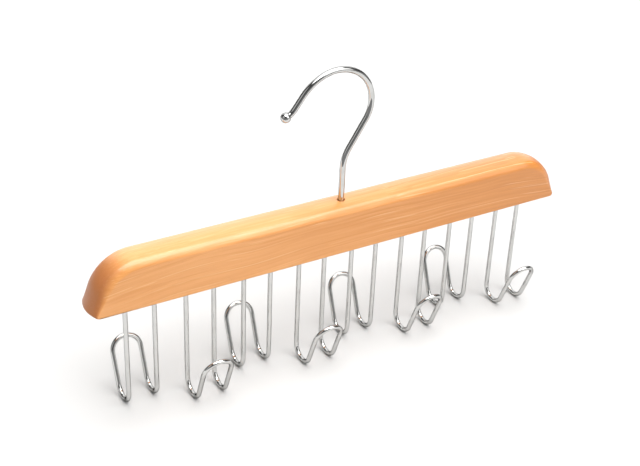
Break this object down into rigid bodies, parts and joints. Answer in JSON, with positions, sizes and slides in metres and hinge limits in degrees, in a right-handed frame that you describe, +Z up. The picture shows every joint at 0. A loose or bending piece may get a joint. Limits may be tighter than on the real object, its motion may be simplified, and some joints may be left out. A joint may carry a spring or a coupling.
{
  "type": "tie hanger",
  "caption": "Wooden bar hanger on a swivel wire hook, with bent wire tie hooks that open to the front and back in turn.",
  "frame": {"origin": "centre of the bounding box at its bottom, on the surface under the wire foot bends", "axes": "+X along the bar, +Y towards the back, +Z up towards the swivel hook"},
  "size_m": [0.348, 0.0572, 0.202],
  "materials": {
    "wood": "clear satin lacquer over straight-grained pale wood",
    "chrome": "bright chrome plate",
    "steel": "plain zinc plate"
  },
  "bodies": {
    "hanger": {"bar": "wood", "swivel_washer": "steel", "tie_hook_1": "chrome", "tie_hook_2": "chrome", "tie_hook_3": "chrome", "tie_hook_4": "chrome", "tie_hook_5": "chrome", "tie_hook_6": "chrome", "tie_hook_7": "chrome", "tie_hook_8": "chrome"},
    "hook": {"swivel_hook": "chrome"}
  },
  "joints": [
    {"name": "hook_swivel", "type": "hinge", "parent": "hanger", "child": "hook", "pos_m": [0, 0, 0.1108], "axis": [0, 0, 1], "continuous": true}
  ]
}
